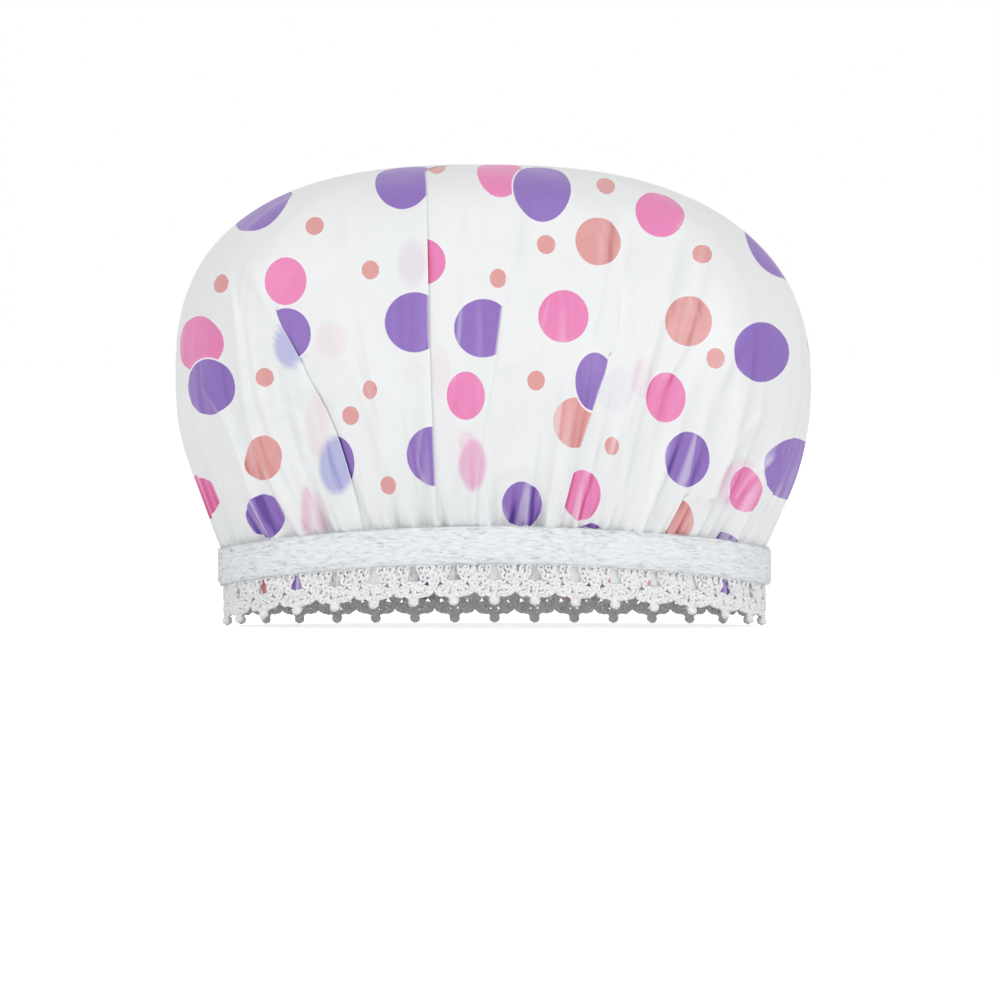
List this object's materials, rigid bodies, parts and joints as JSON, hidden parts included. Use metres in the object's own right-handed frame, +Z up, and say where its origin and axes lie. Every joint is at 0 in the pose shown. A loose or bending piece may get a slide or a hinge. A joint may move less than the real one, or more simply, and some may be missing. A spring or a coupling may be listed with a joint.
{
  "type": "shower cap",
  "caption": "Puffed film shower cap gathered onto an oval elastic rim, with a heading tape and a scalloped lace edging, standing on its lace.",
  "frame": {"origin": "centre of the cap's footprint, on the surface that the lace tips stand on", "axes": "+Z up through the crown, -Y out of the front (the brow), +X along the cap's width"},
  "size_m": [0.1886, 0.116, 0.1378],
  "materials": {
    "film": "satin printed vinyl film",
    "tape": "brushed woven tape",
    "lace": "crocheted cotton",
    "elastic": "knitted elastic",
    "thread": "spun polyester"
  },
  "bodies": {
    "root": {"crown_film": "film", "heading_tape": "tape", "lace_edging": "lace", "elastic_strip": "elastic", "upper_needle_thread": "thread", "lower_needle_thread": "thread", "upper_bobbin_thread": "thread", "lower_bobbin_thread": "thread", "tape_join_tack": "thread", "elastic_join_tack": "thread"}
  },
  "joints": []
}
